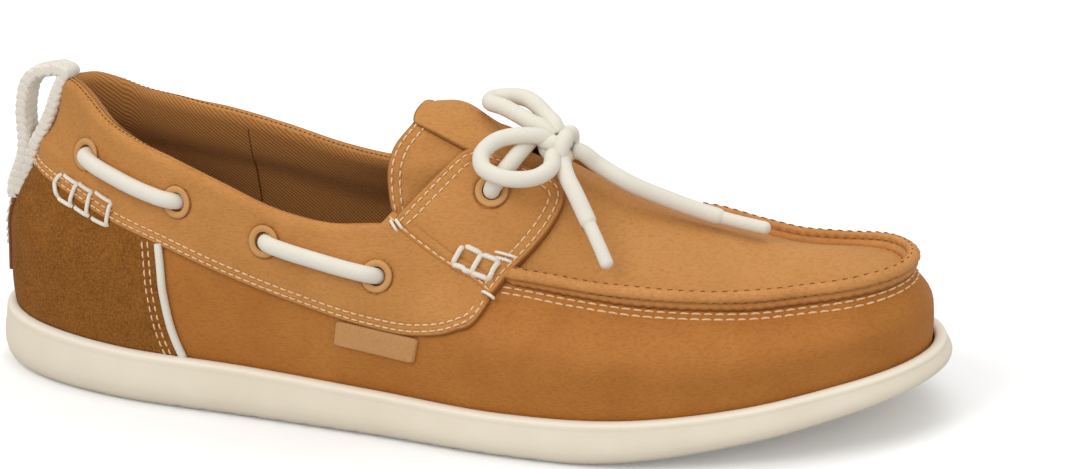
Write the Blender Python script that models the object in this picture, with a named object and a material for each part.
"""A lace-up moccasin deck shoe, the right one of a pair.

Every piece is worked out from one surface, the skin of the last. A point of the skin is found from an angle
around the shoe (0 at the back of the heel, 180 degrees at the toe, outer side first) and a height along the
rib that rises there: 0 at the edge where the upper meets the sole, 1 at the moccasin seam, 2 at the ridge line
of the instep. Sizes are millimetres until a mesh is made. x runs from heel to toe, y to the inner side, z up
from the floor.
"""

import math

import bmesh
import bpy
import numpy as np
from mathutils import Vector

MM = 0.001

# Driving sizes
LAST_LENGTH = 282.0
SOLE_OVERHANG = 5.5
LEATHER = 1.3
WALL = 2.2
COLLAR_PADDING = 1.8
GAP = 0.3
SEAT = 0.1
LACE_RADIUS = 2.5

# Outline of the last where it meets the sole
#   part of the length, outer half width, inner half width, y of the crest over it
OUTLINE = np.array([
    (0.00, 0.0, 0.0, 0.0),
    (0.06, 21.0, 20.5, 0.7),
    (0.15, 30.0, 27.0, 0.5),
    (0.30, 36.0, 27.0, -1.8),
    (0.45, 42.0, 28.5, -4.0),
    (0.60, 49.0, 36.0, -4.0),
    (0.72, 50.5, 42.0, -2.0),
    (0.85, 41.0, 39.5, 1.5),
    (0.94, 26.0, 29.0, 3.2),
    (1.00, -1.5, 1.5, 3.2),
])

# Ribs of the last
#   part of the length, edge height, wall height, outer inset, inner inset, crest height,
#   wall angle, dome angle, swell
RIBS = np.array([
    (0.00, 16.5, 51.0, 11.5, 11.5, 132.0, 76.0, 40.0, 0.0),
    (0.15, 15.0, 46.0, 8.5, 7.0, 128.0, 77.0, 70.0, 0.0),
    (0.30, 14.5, 43.0, 3.0, 2.0, 112.0, 76.0, 78.0, 0.5),
    (0.45, 13.0, 40.0, 4.5, 3.0, 91.0, 68.0, 64.0, 1.0),
    (0.60, 12.0, 37.0, 15.0, 14.0, 76.5, 60.0, 44.0, 1.5),
    (0.72, 13.0, 33.5, 14.5, 14.0, 59.0, 60.0, 22.0, 1.5),
    (0.85, 16.0, 27.0, 16.0, 16.5, 49.5, 64.0, 14.0, 1.5),
    (0.94, 19.5, 24.6, 11.5, 11.0, 47.0, 66.0, 10.0, 1.2),
    (1.00, 21.5, 24.8, 4.5, 4.5, 46.5, 70.0, 6.0, 1.0),
])
EDGE, RISE, OUTER_INSET, INNER_INSET, CREST, WALL_ANGLE, DOME_ANGLE, SWELL = range(1, 9)
SWELL_AT = 0.45
EDGE_LEAN = math.radians(100)
SIDE_BLEND = 0.35
SPINE_FROM, SPINE_TO, SPINE_SOFTNESS = 34.0, 240.0, 9.0

# How the top of the shoe slopes down towards its inner side
#   x, slope, distance of the line that keeps its height (outwards), height where it starts and where it is full
LEAN = np.array([
    (-20, 0.190, 12.0, 50.0, 88.0),
    (20, 0.190, 13.0, 50.0, 87.0),
    (38, 0.055, 17.0, 42.0, 78.0),
    (55, 0.034, 22.0, 34.0, 70.0),
    (80, 0.034, 28.0, 30.0, 62.0),
    (130, 0.034, 32.0, 28.0, 58.0),
    (190, 0.014, 32.0, 28.0, 50.0),
    (300, 0.000, 32.0, 28.0, 50.0),
])

STATIONS = 56
CREST_WELD = 0.8
CUTTER_DEPTH = 90.0
CUTTER_TOP = 160.0
ROWS = (0, 0.25, 0.5, 0.75, 1, 1.15, 1.32, 1.48, 1.62, 1.75, 1.79, 1.9, 2)

# Side views of the edges: x, z
TOPLINE = ((-20, 89.5), (18, 89.5), (25, 89), (31, 85.5), (37, 81), (48, 76.8), (62, 73.5), (78, 69.3),
           (95, 64.3), (112, 61.8), (131.5, 62.3))
THROAT = ((140, 61.5), (150, 63), (160, 67.5), (168, 72), (173, 76))
BAND_EDGE = ((-20, 61), (9, 60), (20, 57.5), (38, 52.5), (58, 48.2), (77, 43.6), (102, 38), (125, 34),
             (143, 33.3), (155, 35.7), (161.5, 39), (164, 43))
SADDLE_SEAM = ((131.5, 62.3), (138, 57.8), (149.3, 51), (160.4, 45.8), (164, 43))
SADDLE_FRONT = ((164, 43), (167.1, 47.8), (171.2, 52.1), (175.5, 57), (178.5, 61.5), (180, 66), (178.5, 72))
SADDLE_BACK = ((150, 84), (148.4, 79.5), (140.5, 71.9), (131.5, 62.3))
COUNTER_FRONT = ((57.2, 60), (57.2, 48.8), (58.2, 42.6), (59, 34.6), (60.4, 26.4), (64.8, 14))
COUNTER_BOTTOM = ((62.6, 16.4), (40, 16.8), (10, 18.2), (-20, 18.4))
TONGUE_BACK = ((136, 50), (132.5, 61), (129.5, 69), (128.3, 76), (129.5, 83), (132.5, 87.5), (134.5, 92))
LABEL = ((114.5, 26.6), (141, 24.6), (143.3, 32.6), (116, 34.4))

# Stations that each panel's grid runs between, clear of its cut edges
TONGUE_SPAN = (12, 18)
PATCH_SPAN = (12, 16)
BAND_SPAN = (-17, 17)
SADDLE_SPAN = (12, 18)
COUNTER_SPAN = (-10, 10)
STRIP_SPAN = (-1, 1)
LABEL_SPAN = (12, 15)

# The collar's padding: how far below the topline it starts and is full, and where along the shoe it ends
PADDING_DEPTH = (20.0, 9.0)
PADDING_ENDS = (105.0, 130.0)

# Eyelets of each side: x, z
EYELETS = ((30.7, 68.6), (63.8, 61.8), (93.3, 54.7), (129.4, 48.2))
SADDLE_EYELET = (159.3, 69.7)
EYELET_RING = 3.9
EYELET_WIRE = 1.1

# Sole: how far each ring stands out from the last's edge and its height, from the floor up. The height is a
# share of the side's, from the tread to the last's edge, and then a distance above that.
SOLE_SIDE = ((-9.0, 0.0, 0.0), (1.2, 0.0, 0.0), (3.4, 0.04, 0.4), (5.0, 0.22, 0.0), (5.5, 0.42, 0.0),
             (4.9, 0.72, 0.0), (4.2, 0.92, 0.0), (3.2, 1.0, 0.9), (1.8, 1.0, 1.3), (0.75, 1.0, 0.8))
SOLE_SHELF = 8.0
SHELF_OUT = 0.45
TOE_SPRING = 14.0
SPRING_FROM = 188.0
SPRING_POWER = 1.44
ARCH_RISE = 2.0
ARCH_BACK = (70.0, 100.0)
ARCH_FRONT = (135.0, 165.0)
ARCH_ACROSS = (0.0, 30.0)
TREAD_GROOVES = 15
TREAD_FROM, TREAD_PITCH, TREAD_RADIUS, TREAD_CENTRE = 62.0, 8.4, 1.7, -0.5

INSOLE_THICKNESS = 3.0
INSOLE_INSET = WALL + 0.7
TONGUE_THICKNESS = 3.0
TONGUE_TUCK = WALL + 0.2
TONGUE_CLEAR = (9.0, 16.0)
TONGUE_END = 176.0
PATCH_END = 163.0
TONGUE_TOP, TONGUE_BOTTOM = 110.0, 45.0
STRIP_ROWS = (0.25, 0.5, 0.62)
STRIP_THICKNESS = 1.0
LABEL_THICKNESS = 0.8
RIDGE_RADIUS = 1.5
RIDGE_FROM = 170.3
RIDGE_POINTS = 28
RIDGE_APART = 0.03
PIPING_FROM, PIPING_TO = 17.0, 47.4
PIPING_RADIUS = 1.0
STRAP_WIDTH = 10.0
STRAP_THICKNESS = 3.2
STRAP_POINTS = 20

# Pull loop seen from the side: x, z of the strap's middle
LOOP_PATH = ((0.7, 53), (2.6, 57.5), (4.4, 62), (5.3, 67), (5.2, 72), (5.2, 77), (5.9, 82), (7.4, 87), (10.4, 90.8),
             (14.5, 92.4), (18.0, 93.2), (20.2, 93.3))

# Laces: points of each route, worked out by hand over the saddle and vamp
EYELET_LIFTS = (3.8, 3.1, 3.0, 3.0, 3.1)
LACE_OVER_RING = 4.0
LACE_OVER_BAND = 4.8
LACE_HELD = (0.17, 0.42)
RUN_SHARES = (0, 0.17, 0.3, 0.5, 0.7, 0.83, 1)
KNOT = (176, -8, 80.5)
KNOT_RADIUS = 5.2
LOOP_SHORT = 3.3
EXIT_STEP = 1.5
RUN_POINTS, CROSSING_POINTS, LOOP_POINTS, END_POINTS = 10, 15, 20, 13
CROSSING = ((165.5, -18.5, 79.5), (167.6, -12, 82.4), (167.8, -4, 83), (167, 4, 82.4), (165.5, 9.5, 80.6))
LOOPS = {
    "lace_loop_medial": ((0, 0.6, 0.8), ((171.5, 1, 90), (165, 6, 91.2), (157, 9, 90.5), (150, 8, 89.8),
                         (148.5, 3, 90), (153, -2.5, 90.5), (160, -5.5, 90.6)), (-0.65, 0.1, 0.75)),
    "lace_loop_lateral": ((-0.55, -0.55, 0.63), ((168.5, -14.5, 87.5), (164, -16, 88), (158.5, -19, 86),
                          (156, -22.5, 82.5), (158, -26.5, 80), (164.5, -28, 79.5), (171, -25.5, 78.2),
                          (175, -21, 78.8)), (-0.05, -1, 0.1)),
}
ENDS = {
    "lace_end_long": ((0.95, 0.15, -0.25), ((186, -5.5, 75.5), (195, -5, 71), (205, -1.5, 65),
                      (214.5, 1.5, 60), (224, 3.5, 56.4), (235, 4, 54.2))),
    "lace_end_short": ((0.5, -0.6, -0.62), ((184, -17, 71.5), (190, -22, 64.6), (194, -26, 59.6),
                       (198.5, -32, 53))),
}

MATERIALS = {
    "leather": ((0.60, 0.33, 0.13), 0.55),
    "suede": ((0.30, 0.13, 0.04), 0.95),
    "rubber": ((0.75, 0.68, 0.55), 0.6),
    "footbed": ((0.33, 0.18, 0.08), 0.9),
    "cord": ((0.86, 0.83, 0.77), 0.85),
    "eyelet": ((0.62, 0.33, 0.14), 0.45),
    "patch": ((0.58, 0.33, 0.15), 0.8),
}


def clear_scene():
    for item in list(bpy.data.objects):
        bpy.data.objects.remove(item, do_unlink=True)


def new_collection(name):
    collection = bpy.data.collections.new(name)
    bpy.context.scene.collection.children.link(collection)
    return collection


def make_material(name):
    colour, roughness = MATERIALS[name]
    material = bpy.data.materials.new(name)
    material.use_nodes = True
    shader = material.node_tree.nodes["Principled BSDF"]
    shader.inputs["Base Color"].default_value = (*colour, 1)
    shader.inputs["Roughness"].default_value = roughness
    shader.inputs["Metallic"].default_value = 0.0
    return material


def smooth(stations, values, at):
    """A smooth curve through a table's rows, with slopes from the neighbouring rows."""
    stations, values, at = (np.asarray(a, float) for a in (stations, values, at))
    steps = np.diff(stations)
    rates = np.diff(values) / steps
    slopes = np.empty_like(values)
    slopes[1:-1] = (rates[:-1] * steps[1:] + rates[1:] * steps[:-1]) / (steps[:-1] + steps[1:])
    slopes[0] = 1.5 * rates[0] - 0.5 * slopes[1]
    slopes[-1] = 1.5 * rates[-1] - 0.5 * slopes[-2]
    i = np.clip(np.searchsorted(stations, at) - 1, 0, len(stations) - 2)
    t = (at - stations[i]) / steps[i]
    return ((1 + 2 * t) * (1 - t) ** 2 * values[i] + t * (1 - t) ** 2 * steps[i] * slopes[i]
            + t * t * (3 - 2 * t) * values[i + 1] + t * t * (t - 1) * steps[i] * slopes[i + 1])


def smooth_path(points, count):
    """Evenly spaced points of a smooth curve through a path's own points."""
    points = np.asarray(points, float)
    lengths = np.concatenate([[0], np.cumsum(np.linalg.norm(np.diff(points, axis=0), axis=1))])
    at = np.linspace(0, lengths[-1], count)
    return np.stack([smooth(lengths, column, at) for column in points.T], -1)


def ease(low, high, value):
    t = np.clip((value - low) / (high - low), 0, 1)
    return t * t * (3 - 2 * t)


def angle_at(share):
    """The angle around the shoe of a part of its length, on the outer side."""
    return np.arccos(np.clip(1 - 2 * np.asarray(share, float), -1, 1))


def outline_y(angle):
    """y of the last's edge, smooth all the way around."""
    knots = angle_at(OUTLINE[:, 0])
    angles = np.concatenate([knots, (2 * math.pi - knots[::-1])[1:-1]])
    widths = np.concatenate([-OUTLINE[:, 1], OUTLINE[::-1, 2][1:-1]])
    turns = [angles - 2 * math.pi, angles, angles + 2 * math.pi]
    return smooth(np.concatenate(turns), np.tile(widths, 3), np.mod(angle, 2 * math.pi))


def crest_y(share):
    return smooth(OUTLINE[:, 0], OUTLINE[:, 3], share)


def rib(column, share):
    return smooth(RIBS[:, 0], RIBS[:, column], share)


def spine_x(x):
    """x of the ridge line's point over a station, held softly between its two ends."""
    x = x - SPINE_SOFTNESS * np.log1p(np.exp((x - SPINE_TO) / SPINE_SOFTNESS))
    return x + SPINE_SOFTNESS * np.log1p(np.exp((SPINE_FROM - x) / SPINE_SOFTNESS))


def rib_span(start, end, start_angle, end_angle, t):
    """A curve in the rib's plane between two points (inward, up) that leaves and arrives at two angles."""
    chord = np.hypot(end[0] - start[0], end[1] - start[1])
    leave = (np.cos(start_angle), np.sin(start_angle))
    arrive = (np.cos(end_angle), np.sin(end_angle))
    return [(1 + 2 * t) * (1 - t) ** 2 * start[k] + t * (1 - t) ** 2 * chord * leave[k]
            + t * t * (3 - 2 * t) * end[k] + t * t * (t - 1) * chord * arrive[k] for k in (0, 1)]


def last_point(angle, height):
    """A point of the last's skin."""
    angle, height = np.broadcast_arrays(np.asarray(angle, float), np.asarray(height, float))
    share = (1 - np.cos(angle)) / 2
    x, y = LAST_LENGTH * share, outline_y(angle)
    top_x = spine_x(x)
    top_y = crest_y(top_x / LAST_LENGTH)
    reach = np.hypot(top_x - x, top_y - y)
    outer = ease(-SIDE_BLEND, SIDE_BLEND, np.sin(angle))
    inset = outer * rib(OUTER_INSET, share) + (1 - outer) * rib(INNER_INSET, share)
    edge_z, rise, swell = rib(EDGE, share), rib(RISE, share), rib(SWELL, share)
    edge = (np.zeros_like(reach), edge_z)
    belly = (-swell, edge_z + SWELL_AT * rise)
    seam = (inset, edge_z + rise)
    crest = (reach, rib(CREST, top_x / LAST_LENGTH))
    wall_angle, dome_angle = np.radians(rib(WALL_ANGLE, share)), np.radians(rib(DOME_ANGLE, share))
    low = rib_span(edge, belly, EDGE_LEAN, math.pi / 2, np.clip(2 * height, 0, 1))
    high = rib_span(belly, seam, math.pi / 2, wall_angle, np.clip(2 * height - 1, 0, 1))
    dome = rib_span(seam, crest, dome_angle, 0.0, np.clip(height - 1, 0, 1))
    inward, up = (np.where(height < 0.5, low[k], np.where(height < 1, high[k], dome[k])) for k in (0, 1))
    return np.stack([x + (top_x - x) / reach * inward, y + (top_y - y) / reach * inward, up], -1)


def last_normal(angle, height):
    """The outward direction of the last's skin."""
    step = 0.002
    height = np.clip(height, step, 2 - step)
    along = last_point(angle + step, height) - last_point(angle - step, height)
    across = last_point(angle, height + step) - last_point(angle, height - step)
    normal = np.cross(along, across)
    return normal / np.linalg.norm(normal, axis=-1, keepdims=True)


def skin(angle, height, offset=0.0):
    offset = np.asarray(offset, float)[..., None]
    return last_point(angle, height) + last_normal(angle, height) * offset


def find_on_side(x, z, side):
    """Angle and height of the skin's point that a side view shows at x, z. side is -1 outer, 1 inner."""
    share, height, step, calm = x / LAST_LENGTH, 1.0, 0.01, 0.7
    for _ in range(40):
        angle = angle_at(share) if side < 0 else 2 * math.pi - angle_at(share)
        here = last_point(angle, height)
        above = last_point(angle, min(height + step, 2.0))
        climb = max((above[2] - here[2]) / step, 5.0)
        share = float(np.clip(share + calm * (x - here[0]) / LAST_LENGTH, 0.001, 0.999))
        height = float(np.clip(height + calm * (z - here[2]) / climb, 0.0, 2 - step))
    return (angle_at(share) if side < 0 else 2 * math.pi - angle_at(share)), height


def edge_ring(out, angles):
    """The last's edge in plan, moved outwards."""
    step = 0.001
    here = np.stack([LAST_LENGTH / 2 * (1 - np.cos(angles)), outline_y(angles)], -1)
    ahead = np.stack([LAST_LENGTH / 2 * (1 - np.cos(angles + step)), outline_y(angles + step)], -1)
    behind = np.stack([LAST_LENGTH / 2 * (1 - np.cos(angles - step)), outline_y(angles - step)], -1)
    along = (ahead - behind) / np.linalg.norm(ahead - behind, axis=-1, keepdims=True)
    return here + out * np.stack([along[:, 1], -along[:, 0]], -1)


ANGLES = 2 * math.pi * np.arange(STATIONS) / STATIONS
SOLE_OUTLINE = edge_ring(SOLE_OVERHANG, np.linspace(0, 2 * math.pi, 721))
FRAME_X, FRAME_Y = -(SOLE_OUTLINE.min(0) + SOLE_OUTLINE.max(0)) / 2


def lean(points):
    """The same points, lower towards the inner side near the top of the shoe."""
    points = np.array(points, float).reshape(-1, 3)
    x = np.clip(points[:, 0], LEAN[0, 0], LEAN[-1, 0])
    slope, outwards, start, full = (smooth(LEAN[:, 0], LEAN[:, column], x) for column in range(1, 5))
    points[:, 2] -= slope * (points[:, 1] + outwards) * ease(start, full, points[:, 2])
    return points


def to_frame(points):
    """Metres in the part's frame, whose origin is under the middle of the sole."""
    return (lean(points) + (FRAME_X, FRAME_Y, 0)) * MM


def halve(quad, flip=False):
    """Two triangles for a quad, always along the same diagonal, so that neighbouring layers stay parallel."""
    a, b, c, d = quad
    return [[c, b, a], [d, c, a]] if flip else [[a, b, c], [a, c, d]]


def grid_faces(rows, columns, start=0, closed=False, flip=False):
    """Triangles of a grid whose points run up the rows first."""
    faces = []
    for i in range(columns if closed else columns - 1):
        for j in range(rows - 1):
            low, next_low = start + i * rows + j, start + (i + 1) % columns * rows + j
            faces += halve((low, next_low, next_low + 1, low + 1), flip)
    return faces


def add_object(name, points, faces, material, collection):
    mesh = bpy.data.meshes.new(name)
    mesh.from_pydata([tuple(p) for p in to_frame(points)], [], faces)
    if material:
        mesh.materials.append(material)
    mesh.shade_smooth()
    item = bpy.data.objects.new(name, mesh)
    collection.objects.link(item)
    return item


def add_layer(name, angles, heights, inner, outer, material, collection):
    """A closed solid between two offsets of the skin, over a grid of angles by heights.

    angles and heights are arrays of one shape, columns by rows, and inner and outer are numbers or such arrays.
    """
    columns, rows = angles.shape
    count = columns * rows
    points = np.concatenate([skin(angles, heights, outer + 0 * angles).reshape(-1, 3),
                             skin(angles, heights, inner + 0 * angles).reshape(-1, 3)])
    faces = grid_faces(rows, columns) + grid_faces(rows, columns, count, flip=True)
    rim = ([i * rows for i in range(columns)] + [(columns - 1) * rows + j for j in range(1, rows)]
           + [i * rows + rows - 1 for i in range(columns - 2, -1, -1)] + [j for j in range(rows - 2, 0, -1)])
    for a, b in zip(rim, rim[1:] + rim[:1]):
        faces.append([a, a + count, b + count, b])
    return add_object(name, points, faces, material, collection)


def wrap_grid(first, last, rows):
    """Angles and heights over the stations from first to last. Negative ones lie on the inner side."""
    stations = 2 * math.pi * np.arange(first, last + 1) / STATIONS
    return np.meshgrid(stations, np.asarray(rows, float), indexing="ij")


def arch_grid(first, last, rows):
    """Angles and heights of a patch that crosses the instep from the outer side to the inner."""
    outer = 2 * math.pi * np.arange(first, last + 1) / STATIONS
    rows = np.asarray(rows, float)
    angles = np.concatenate([np.tile(outer[:, None], len(rows)),
                             np.tile(2 * math.pi - outer[:, None], len(rows) - 1)], 1)
    heights = np.tile(np.concatenate([rows, rows[-2::-1]]), (len(outer), 1))
    return angles, heights


def add_prism(name, outline, collection, low=-CUTTER_DEPTH, high=CUTTER_DEPTH):
    """A cutter: an outline in the side view (x, z), as deep as from low to high in y."""
    mesh = bmesh.new()
    face = mesh.faces.new([mesh.verts.new((x, low, z)) for x, z in outline])
    moved = bmesh.ops.extrude_face_region(mesh, geom=[face])["geom"]
    bmesh.ops.translate(mesh, vec=(0, high - low, 0), verts=[v for v in moved if isinstance(v, bmesh.types.BMVert)])
    for vertex in mesh.verts:
        vertex.co = to_frame(vertex.co)[0]
    bmesh.ops.recalc_face_normals(mesh, faces=mesh.faces)
    data = bpy.data.meshes.new(name)
    mesh.to_mesh(data)
    mesh.free()
    cutter = bpy.data.objects.new(name, data)
    cutter.hide_render = True
    cutter.display_type = "WIRE"
    collection.objects.link(cutter)
    return cutter


def cut(item, cutter, operation="DIFFERENCE"):
    boolean = item.modifiers.new(cutter.name, "BOOLEAN")
    boolean.operation = operation
    boolean.object = cutter
    return item


def side_curve(*paths, spacing=7.5):
    """One outline out of several smooth side-view paths, each with a point about every spacing."""
    outline = []
    for path in paths:
        length = np.linalg.norm(np.diff(np.asarray(path, float), axis=0), axis=1).sum()
        run = smooth_path(path, max(2, int(round(length / spacing)) + 1))
        outline += [tuple(p) for p in run if not outline or np.hypot(*(p - outline[-1])) > 0.2]
    return outline


def topline_z(x):
    """Height of the upper's opening in the side view. Past the throat it is above everything."""
    line = np.array(TOPLINE + THROAT, float)
    return np.where(x > line[-1, 0], 200.0, smooth(line[:, 0], line[:, 1], np.minimum(x, line[-1, 0])))


def inner_wall(angles, heights):
    """Thickness of the upper's wall: leather and lining, padded along the collar."""
    here = last_point(angles, heights)
    near_top = 1 - ease(*PADDING_DEPTH[::-1], topline_z(here[..., 0]) - here[..., 2])
    return WALL + COLLAR_PADDING * near_top * (1 - ease(*PADDING_ENDS, here[..., 0]))


def weld(item, indices, distance):
    """Joins those of the listed vertices that lie closer together than the distance."""
    mesh = bmesh.new()
    mesh.from_mesh(item.data)
    mesh.verts.ensure_lookup_table()
    bmesh.ops.remove_doubles(mesh, verts=[mesh.verts[i] for i in indices], dist=distance * MM)
    mesh.to_mesh(item.data)
    mesh.free()


def make_upper(materials, parts, cutters):
    """The vamp and quarters: one shell around the last, open underneath and at the collar and throat."""
    angles, heights = np.meshgrid(ANGLES, np.array(ROWS, float), indexing="ij")
    rows = len(ROWS)
    outside = skin(angles, heights)
    inside = skin(angles, heights, -inner_wall(angles, heights))
    for surface in (outside, inside):
        partner = surface[-np.arange(STATIONS) % STATIONS, -1].copy()
        surface[:, -1] = (surface[:, -1] + partner) / 2
    count = STATIONS * rows
    faces = grid_faces(rows, STATIONS, closed=True)
    faces += grid_faces(rows, STATIONS, count, closed=True, flip=True)
    for i in range(STATIONS):
        a, b = i * rows, (i + 1) % STATIONS * rows
        faces.append([a, a + count, b + count, b])
    upper = add_object("upper", np.concatenate([outside.reshape(-1, 3), inside.reshape(-1, 3)]), faces,
                       materials["leather"], parts)
    crest = [start + i * rows + rows - 1 for start in (0, count) for i in range(STATIONS)]
    weld(upper, crest, CREST_WELD)
    outline = side_curve(TOPLINE + THROAT) + [(THROAT[-1][0], CUTTER_TOP), (TOPLINE[0][0], CUTTER_TOP)]
    return cut(upper, add_prism("opening", outline, cutters))


def tongue_surface(angles, heights):
    """Offset of the tongue's face: tucked under the upper's edge, and up to the last's skin clear of it."""
    here = last_point(angles, heights)
    clear = ease(*TONGUE_CLEAR, here[..., 2] - topline_z(here[..., 0]))
    return -GAP - TONGUE_TUCK * (1 - clear)


def make_tongue(materials, parts, cutters):
    """The tongue, from under the throat up over the instep."""
    angles, heights = arch_grid(*TONGUE_SPAN, ROWS[5:])
    face = tongue_surface(angles, heights)
    tongue = add_layer("tongue", angles, heights, face - TONGUE_THICKNESS, face, materials["leather"], parts)
    outline = side_curve(TONGUE_BACK) + [(TONGUE_END, TONGUE_TOP), (TONGUE_END, TONGUE_BOTTOM)]
    return cut(tongue, add_prism("tongue_outline", outline, cutters), "INTERSECT")


def make_tongue_patch(materials, parts, cutters):
    """The rounded patch on the top of the tongue."""
    angles, heights = arch_grid(*PATCH_SPAN, ROWS[10:])
    face = tongue_surface(angles, heights) + GAP
    patch = add_layer("tongue_patch", angles, heights, face, face + LEATHER, materials["leather"], parts)
    outline = side_curve(TONGUE_BACK) + [(PATCH_END, TONGUE_TOP), (PATCH_END, TONGUE_BOTTOM)]
    return cut(patch, add_prism("patch_outline", outline, cutters), "INTERSECT")


def make_collar_band(materials, parts, cutters):
    """The leather band around the collar, down to its stitched lower edge, and on below the saddles."""
    angles, heights = wrap_grid(*BAND_SPAN, ROWS[1:8])
    band = add_layer("collar_band", angles, heights, GAP, GAP + LEATHER, materials["leather"], parts)
    seam = [(x, z - GAP) for x, z in side_curve(SADDLE_SEAM)]
    outline = side_curve(BAND_EDGE) + seam[::-1][1:-1] + side_curve(TOPLINE)[::-1]
    return cut(band, add_prism("band_outline", outline, cutters), "INTERSECT")


def make_saddle(side, materials, parts, cutters):
    """One side's saddle: the panel that carries the front eyelet, from the band up to the throat."""
    first, last = SADDLE_SPAN if side == "lateral" else (STATIONS - SADDLE_SPAN[1], STATIONS - SADDLE_SPAN[0])
    angles, heights = wrap_grid(first, last, ROWS[3:10])
    saddle = add_layer("saddle_" + side, angles, heights, GAP, GAP + LEATHER, materials["leather"], parts)
    seam = [(x, z + GAP / 2) for x, z in side_curve(SADDLE_SEAM)]
    top = [(SADDLE_FRONT[-1][0], TONGUE_TOP), (SADDLE_BACK[0][0], TONGUE_TOP)]
    outline = seam + side_curve(SADDLE_FRONT)[1:] + top + side_curve(SADDLE_BACK)[:-1]
    return cut(saddle, add_prism("saddle_outline_" + side, outline, cutters), "INTERSECT")


def make_heel_counter(materials, parts, cutters):
    """The suede panel around the heel, below the band and behind the piping."""
    angles, heights = wrap_grid(*COUNTER_SPAN, ROWS[:5])
    counter = add_layer("heel_counter", angles, heights, GAP, GAP + LEATHER, materials["suede"], parts)
    top = [(x, z - GAP) for x, z in side_curve(BAND_EDGE) if x < COUNTER_FRONT[0][0] - 2]
    front = [(x - PIPING_RADIUS - GAP, z) for x, z in side_curve(COUNTER_FRONT) if z < PIPING_TO]
    outline = top + front[:-1] + list(COUNTER_BOTTOM)
    return cut(counter, add_prism("counter_outline", outline, cutters), "INTERSECT")


def add_tube(name, route, radius, material, collection, count):
    """A round cord or wire along a smooth curve through a route's points."""
    curve = bpy.data.curves.new(name, "CURVE")
    curve.dimensions = "3D"
    curve.bevel_depth = radius * MM
    curve.bevel_resolution = 2
    curve.use_fill_caps = True
    spline = curve.splines.new("POLY")
    points = to_frame(smooth_path(route, count))
    spline.points.add(len(points) - 1)
    for target, point in zip(spline.points, points):
        target.co = (*point, 1)
    curve.materials.append(material)
    tube = bpy.data.objects.new(name, curve)
    collection.objects.link(tube)
    return tube


def make_piping(side, materials, parts):
    """The cord along the front edge of the heel counter."""
    sign = -1 if side == "lateral" else 1
    route = []
    for x, z in side_curve(COUNTER_FRONT, spacing=4):
        if PIPING_FROM < z < PIPING_TO:
            angle, height = find_on_side(x, z, sign)
            route.append(skin(angle, height, GAP + PIPING_RADIUS + SEAT))
    return add_tube("piping_" + side, route, PIPING_RADIUS, materials["cord"], parts, len(route))


def make_moc_ridge(materials, parts):
    """The raised seam that runs around the toe between the two saddles."""
    start = float(angle_at(RIDGE_FROM / LAST_LENGTH))
    end = 2 * math.pi - start
    between = [angle for angle in ANGLES if start + RIDGE_APART < angle < end - RIDGE_APART]
    route = [skin(angle, 1.0, GAP + RIDGE_RADIUS + SEAT) for angle in (start, *between, end)]
    return add_tube("moc_ridge", route, RIDGE_RADIUS, materials["leather"], parts, RIDGE_POINTS)


def make_heel_strip(materials, parts):
    """The narrow strip up the back of the counter."""
    angles, heights = wrap_grid(*STRIP_SPAN, STRIP_ROWS)
    inner = 2 * GAP + LEATHER
    outer = inner + STRIP_THICKNESS
    return add_layer("heel_strip", angles, heights, inner, outer, materials["leather"], parts)


def make_side_label(materials, parts, cutters):
    """The small bare patch below the band on the outer side."""
    angles, heights = wrap_grid(*LABEL_SPAN, ROWS[1:4])
    label = add_layer("side_label", angles, heights, GAP, GAP + LABEL_THICKNESS, materials["patch"], parts)
    return cut(label, add_prism("label_outline", LABEL, cutters), "INTERSECT")


def make_pull_loop(materials, parts):
    """The braided strap that stands up from the heel strip and ends on the collar."""
    middle = smooth_path(LOOP_PATH, STRAP_POINTS)
    along = np.gradient(middle, axis=0)
    normal = np.stack([-along[:, 1], along[:, 0]], -1) / np.linalg.norm(along, axis=1, keepdims=True)
    half = normal * STRAP_THICKNESS / 2
    outline = list(middle + half) + list((middle - half)[::-1])
    strap = add_prism("pull_loop", outline, parts, -STRAP_WIDTH / 2, STRAP_WIDTH / 2)
    strap.hide_render = False
    strap.display_type = "TEXTURED"
    strap.data.materials.append(materials["cord"])
    return strap


def cap_faces(start, flip=False):
    """Closes a ring of stations with strips that join each outer station to its inner one."""
    faces = []
    for i in range(STATIONS // 2):
        stations = (i, i + 1, STATIONS - i - 1, (STATIONS - i) % STATIONS)
        strip = [start + station for station in stations]
        faces += [face for face in halve(strip, flip) if len(set(face)) == 3]
    return faces


def add_ring_stack(name, rings, material, collection):
    """A solid skinned over closed rings of stations, from the bottom ring to the top one."""
    faces = []
    for r in range(len(rings) - 1):
        for i in range(STATIONS):
            k = (i + 1) % STATIONS
            low, high = r * STATIONS, (r + 1) * STATIONS
            faces += halve((low + i, low + k, high + k, high + i))
    faces += cap_faces(0, flip=True) + cap_faces((len(rings) - 1) * STATIONS)
    return add_object(name, np.concatenate(rings), faces, material, collection)


def tread_z(x, y):
    """Height of the sole's underside: flat at heel and forefoot, with an inner arch and toe spring."""
    spring = TOE_SPRING * np.clip((x - SPRING_FROM) / (LAST_LENGTH - SPRING_FROM), 0, None) ** SPRING_POWER
    arch = ARCH_RISE * ease(*ARCH_BACK, x) * (1 - ease(*ARCH_FRONT, x)) * ease(*ARCH_ACROSS, y)
    return spring + arch


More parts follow.
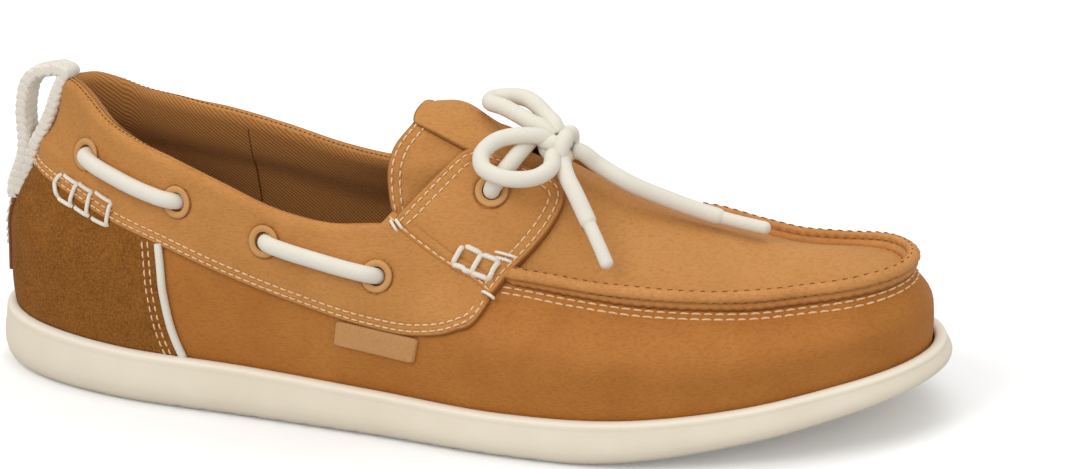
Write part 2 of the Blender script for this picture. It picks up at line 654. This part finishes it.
def make_sole(materials, parts, cutters):
    """The moulded cup sole: its side and lip follow the last's edge, and grooves cross the tread."""
    edge_z = rib(EDGE, (1 - np.cos(ANGLES)) / 2)
    rings = []
    for out, share, above in SOLE_SIDE:
        plan = edge_ring(out, ANGLES)
        tread = tread_z(*plan.T)
        rings.append(np.column_stack([plan, tread + share * (edge_z - tread) + above]))
    for out in (SHELF_OUT, -SOLE_SHELF):
        rings.append(np.column_stack([edge_ring(out, ANGLES), edge_z - GAP]))
    sole = add_ring_stack("sole", rings, materials["rubber"], parts)
    for i in range(TREAD_GROOVES):
        bpy.ops.mesh.primitive_cylinder_add(vertices=8, radius=TREAD_RADIUS * MM, depth=150 * MM,
                                            rotation=(math.pi / 2, 0, 0))
        groove = bpy.context.active_object
        groove.name = "tread_groove"
        x = TREAD_FROM + i * TREAD_PITCH
        groove.location = to_frame([(x, -FRAME_Y, TREAD_CENTRE + float(tread_z(x, 0.0)))])[0]
        groove.hide_render = True
        groove.display_type = "WIRE"
        for collection in groove.users_collection:
            collection.objects.unlink(groove)
        cutters.objects.link(groove)
        cut(sole, groove)
    return sole


def make_insole(materials, parts):
    """The footbed, on the sole and inside the upper."""
    edge_z = rib(EDGE, (1 - np.cos(ANGLES)) / 2)
    rings = []
    for rise in (0, INSOLE_THICKNESS):
        for inward in (SOLE_SHELF, INSOLE_INSET)[::1 if rise == 0 else -1]:
            rings.append(np.column_stack([edge_ring(-inward, ANGLES), edge_z + rise]))
    return add_ring_stack("insole", rings, materials["footbed"], parts)


def eyelet_place(index, sign):
    """Angle and height of an eyelet. The last one of each side is on the saddle."""
    x, z = EYELETS[index] if index < len(EYELETS) else SADDLE_EYELET
    return find_on_side(x, z, sign)


def make_eyelet(index, side, materials, parts):
    angle, height = eyelet_place(index, -1 if side == "lateral" else 1)
    bpy.ops.mesh.primitive_torus_add(major_segments=12, minor_segments=4, major_radius=EYELET_RING * MM,
                                     minor_radius=EYELET_WIRE * MM)
    ring = bpy.context.active_object
    ring.name = ring.data.name = f"eyelet_{side}_{index + 1}"
    ring.location = to_frame(skin(angle, height, EYELET_LIFTS[index]))[0]
    ring.rotation_mode = "QUATERNION"
    ring.rotation_quaternion = Vector(last_normal(angle, height)).to_track_quat("Z", "Y")
    ring.data.materials.append(materials["eyelet"])
    ring.data.shade_smooth()
    for collection in ring.users_collection:
        collection.objects.unlink(ring)
    parts.objects.link(ring)
    return ring


def make_lace_run(first, side, materials, parts):
    """The lace's run over the band from one eyelet to the next."""
    sign = -1 if side == "lateral" else 1
    start, end = eyelet_place(first, sign), eyelet_place(first + 1, sign)
    route = []
    for t in RUN_SHARES:
        angle, height = (a + t * (b - a) for a, b in zip(start, end))
        over_ring = EYELET_LIFTS[first if t < 0.5 else first + 1] + LACE_OVER_RING
        rise = over_ring - (over_ring - LACE_OVER_BAND) * ease(*LACE_HELD, min(t, 1 - t))
        route.append(skin(angle, height, rise))
    return add_tube(f"lace_{side}_{first // 2 + 1}", route, LACE_RADIUS, materials["cord"], parts, RUN_POINTS)


def make_lace_crossing(materials, parts):
    """The lace from the outer saddle's eyelet, behind the knot, to the inner saddle's."""
    over_ring = EYELET_LIFTS[-1] + LACE_OVER_RING
    ends = [skin(*eyelet_place(len(EYELETS), sign), over_ring) for sign in (-1, 1)]
    route = [ends[0], *CROSSING, ends[1]]
    return add_tube("lace_crossing", route, LACE_RADIUS, materials["cord"], parts, CROSSING_POINTS)


def make_knot(materials, parts):
    bpy.ops.mesh.primitive_uv_sphere_add(segments=12, ring_count=6, radius=KNOT_RADIUS * MM,
                                         location=to_frame([KNOT])[0])
    knot = bpy.context.active_object
    knot.name = knot.data.name = "lace_knot"
    knot.data.materials.append(materials["cord"])
    knot.data.shade_smooth()
    for collection in knot.users_collection:
        collection.objects.unlink(knot)
    parts.objects.link(knot)
    return knot


def knot_exit(direction, far=0.0):
    """Two points where a cord leaves the knot: its end, clear of the knot, and one further on."""
    direction = np.asarray(direction, float) / np.linalg.norm(direction)
    start = KNOT_RADIUS + GAP + SEAT + far
    return [np.array(KNOT) + direction * (start + step) for step in (0, EXIT_STEP)]


def make_bow(materials, parts):
    """The two loops and two ends, each from the knot."""
    cord = materials["cord"]
    for name, (leave, route, arrive) in LOOPS.items():
        path = knot_exit(leave) + list(route) + knot_exit(arrive, LOOP_SHORT)[::-1]
        add_tube(name, path, LACE_RADIUS, cord, parts, LOOP_POINTS)
    for name, (leave, route) in ENDS.items():
        add_tube(name, knot_exit(leave) + list(route), LACE_RADIUS, cord, parts, END_POINTS)


def main():
    clear_scene()
    parts = new_collection("deck_shoe")
    cutters = new_collection("cutters")
    materials = {name: make_material(name) for name in MATERIALS}
    make_sole(materials, parts, cutters)
    make_insole(materials, parts)
    make_upper(materials, parts, cutters)
    make_tongue(materials, parts, cutters)
    make_tongue_patch(materials, parts, cutters)
    make_collar_band(materials, parts, cutters)
    make_heel_counter(materials, parts, cutters)
    make_heel_strip(materials, parts)
    make_pull_loop(materials, parts)
    make_side_label(materials, parts, cutters)
    make_moc_ridge(materials, parts)
    for side in ("lateral", "medial"):
        make_saddle(side, materials, parts, cutters)
        make_piping(side, materials, parts)
        for index in range(len(EYELETS) + 1):
            make_eyelet(index, side, materials, parts)
        for first in (0, 2):
            make_lace_run(first, side, materials, parts)
    make_lace_crossing(materials, parts)
    make_knot(materials, parts)
    make_bow(materials, parts)


main()
